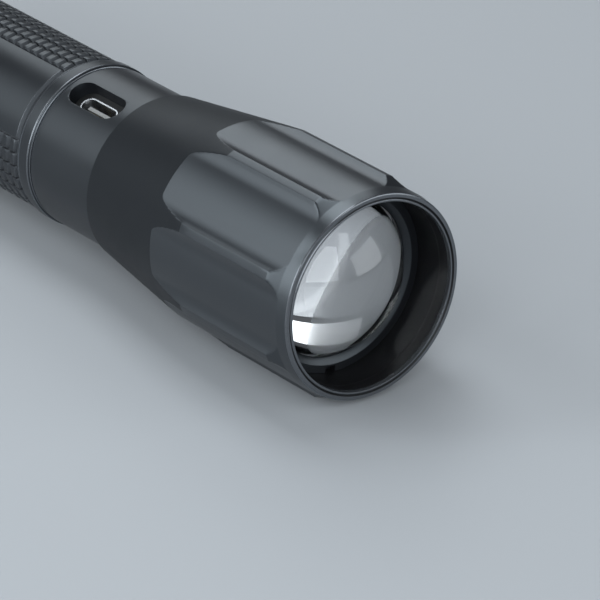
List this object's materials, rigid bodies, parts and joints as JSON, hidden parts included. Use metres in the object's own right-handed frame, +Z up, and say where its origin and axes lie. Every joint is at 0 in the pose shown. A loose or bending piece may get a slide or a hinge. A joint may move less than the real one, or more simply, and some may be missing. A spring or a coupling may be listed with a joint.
{
  "type": "zoom torch",
  "caption": "Black zoom torch: a fluted head slides over a knurled tube, a dome lens sits behind the rim, the head bares a charging port and the screw-off tail cap has a push button.",
  "frame": {"origin": "on the torch axis, halfway along its length with the head drawn fully forward", "axes": "+X along the torch axis toward the lens, +Z up with the charging port turned 23.7 degrees from up toward -Y"},
  "size_m": [0.18, 0.0364, 0.0364],
  "materials": {
    "anodised": "satin black anodised, bead blasted",
    "anodised_dark": "matt black anodised",
    "lens_glass": "polished, clear",
    "rubber": "matt black",
    "rubber_button": "matt black",
    "brass": "turned",
    "board_white": "solder mask",
    "lamp": "clear silicone over a yellow phosphor",
    "black_plastic": "moulded",
    "grey_plastic": "moulded",
    "board_green": "solder mask",
    "steel": "plated",
    "cell_wrap": "shrink wrap over a can"
  },
  "bodies": {
    "barrel": {"focus_barrel": "anodised", "focus_o_ring": "rubber", "led_pill": "brass", "led_board": "board_white", "led_package": "board_white", "led_dome": "lamp", "led_cover": "black_plastic", "board_carrier": "black_plastic", "charge_board": "board_green", "usb_shell": "steel", "usb_tongue": "grey_plastic", "port_gasket": "rubber", "driver_board": "board_green", "driver_ring": "brass", "contact_post": "brass", "barrel_o_ring": "rubber", "grip_tube": "anodised", "tail_o_ring": "rubber"},
    "head": {"head_shell": "anodised", "bezel_ring": "anodised", "lens": "lens_glass", "lens_ring": "anodised_dark", "lens_gasket": "rubber"},
    "cell": {"cell_body": "cell_wrap", "cell_terminal": "steel"},
    "tail": {"tail_cap": "anodised", "tail_spring": "steel", "switch_board": "board_green", "switch_body": "black_plastic", "switch_holder": "black_plastic", "switch_ring": "brass"},
    "button": {"tail_button": "rubber_button", "switch_plunger": "grey_plastic"}
  },
  "joints": [
    {"name": "head_slide", "type": "slide", "parent": "barrel", "child": "head", "axis": [-1, 0, 0], "range_m": [0, 0.017]},
    {"name": "cap_travel", "type": "slide", "parent": "barrel", "child": "cell", "axis": [-1, 0, 0], "range_m": [0, 0.00498]},
    {"name": "cap_turn", "type": "hinge", "parent": "cell", "child": "tail", "pos_m": [-0.076, 0, 0], "axis": [-1, 0, 0], "range_deg": [0, 1440]},
    {"name": "button_press", "type": "slide", "parent": "tail", "child": "button", "axis": [1, 0, 0], "range_m": [0, 0.0017], "stiffness_N_per_m": 1200, "springref_m": -0.0012}
  ],
  "couplings": [
    {"joint": "cap_turn", "follows": "cap_travel", "rad_per_m": 5050.5}
  ]
}
